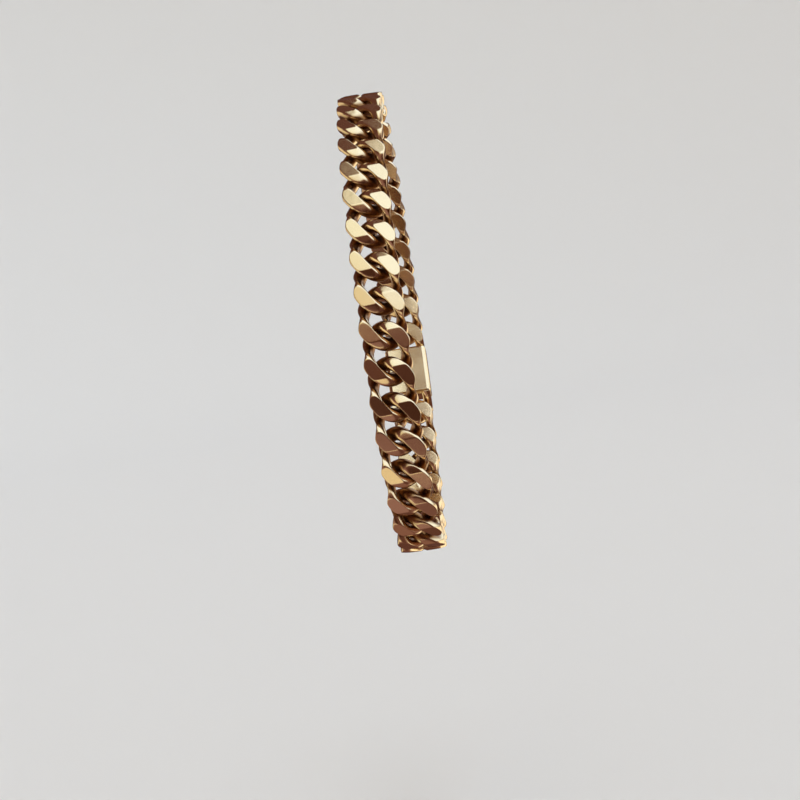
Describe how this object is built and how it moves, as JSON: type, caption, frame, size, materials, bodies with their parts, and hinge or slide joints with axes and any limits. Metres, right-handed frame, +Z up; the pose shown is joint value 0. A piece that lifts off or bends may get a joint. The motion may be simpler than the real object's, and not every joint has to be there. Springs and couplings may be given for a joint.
{
  "type": "cuban link bracelet",
  "caption": "Cuban link bracelet of twisted, filed oval gold links that interlock, closed in the oval form it takes on a wrist.",
  "frame": {"origin": "middle of the wrist hollow, the centre of the chain's oval loop", "axes": "+X along the forearm, through the hollow; +Z up, along the loop's long way; -Y out of the front of the wrist; the top of the oval leans back towards +Y"},
  "size_m": [0.0068, 0.0546, 0.0698],
  "materials": {
    "yellow_gold": "polished 14 carat yellow gold"
  },
  "bodies": {
    "root": {"clasp": "yellow_gold", "link_01": "yellow_gold", "link_02": "yellow_gold", "link_03": "yellow_gold", "link_04": "yellow_gold", "link_05": "yellow_gold", "link_06": "yellow_gold", "link_07": "yellow_gold", "link_08": "yellow_gold", "link_09": "yellow_gold", "link_10": "yellow_gold", "link_11": "yellow_gold", "link_12": "yellow_gold", "link_13": "yellow_gold", "link_14": "yellow_gold", "link_15": "yellow_gold", "link_16": "yellow_gold", "link_17": "yellow_gold", "link_18": "yellow_gold", "link_19": "yellow_gold", "link_20": "yellow_gold", "link_21": "yellow_gold", "link_22": "yellow_gold", "link_23": "yellow_gold", "link_24": "yellow_gold", "link_25": "yellow_gold", "link_26": "yellow_gold", "link_27": "yellow_gold", "link_28": "yellow_gold", "link_29": "yellow_gold", "link_30": "yellow_gold", "link_31": "yellow_gold", "link_32": "yellow_gold", "link_33": "yellow_gold", "link_34": "yellow_gold", "link_35": "yellow_gold"}
  },
  "joints": []
}
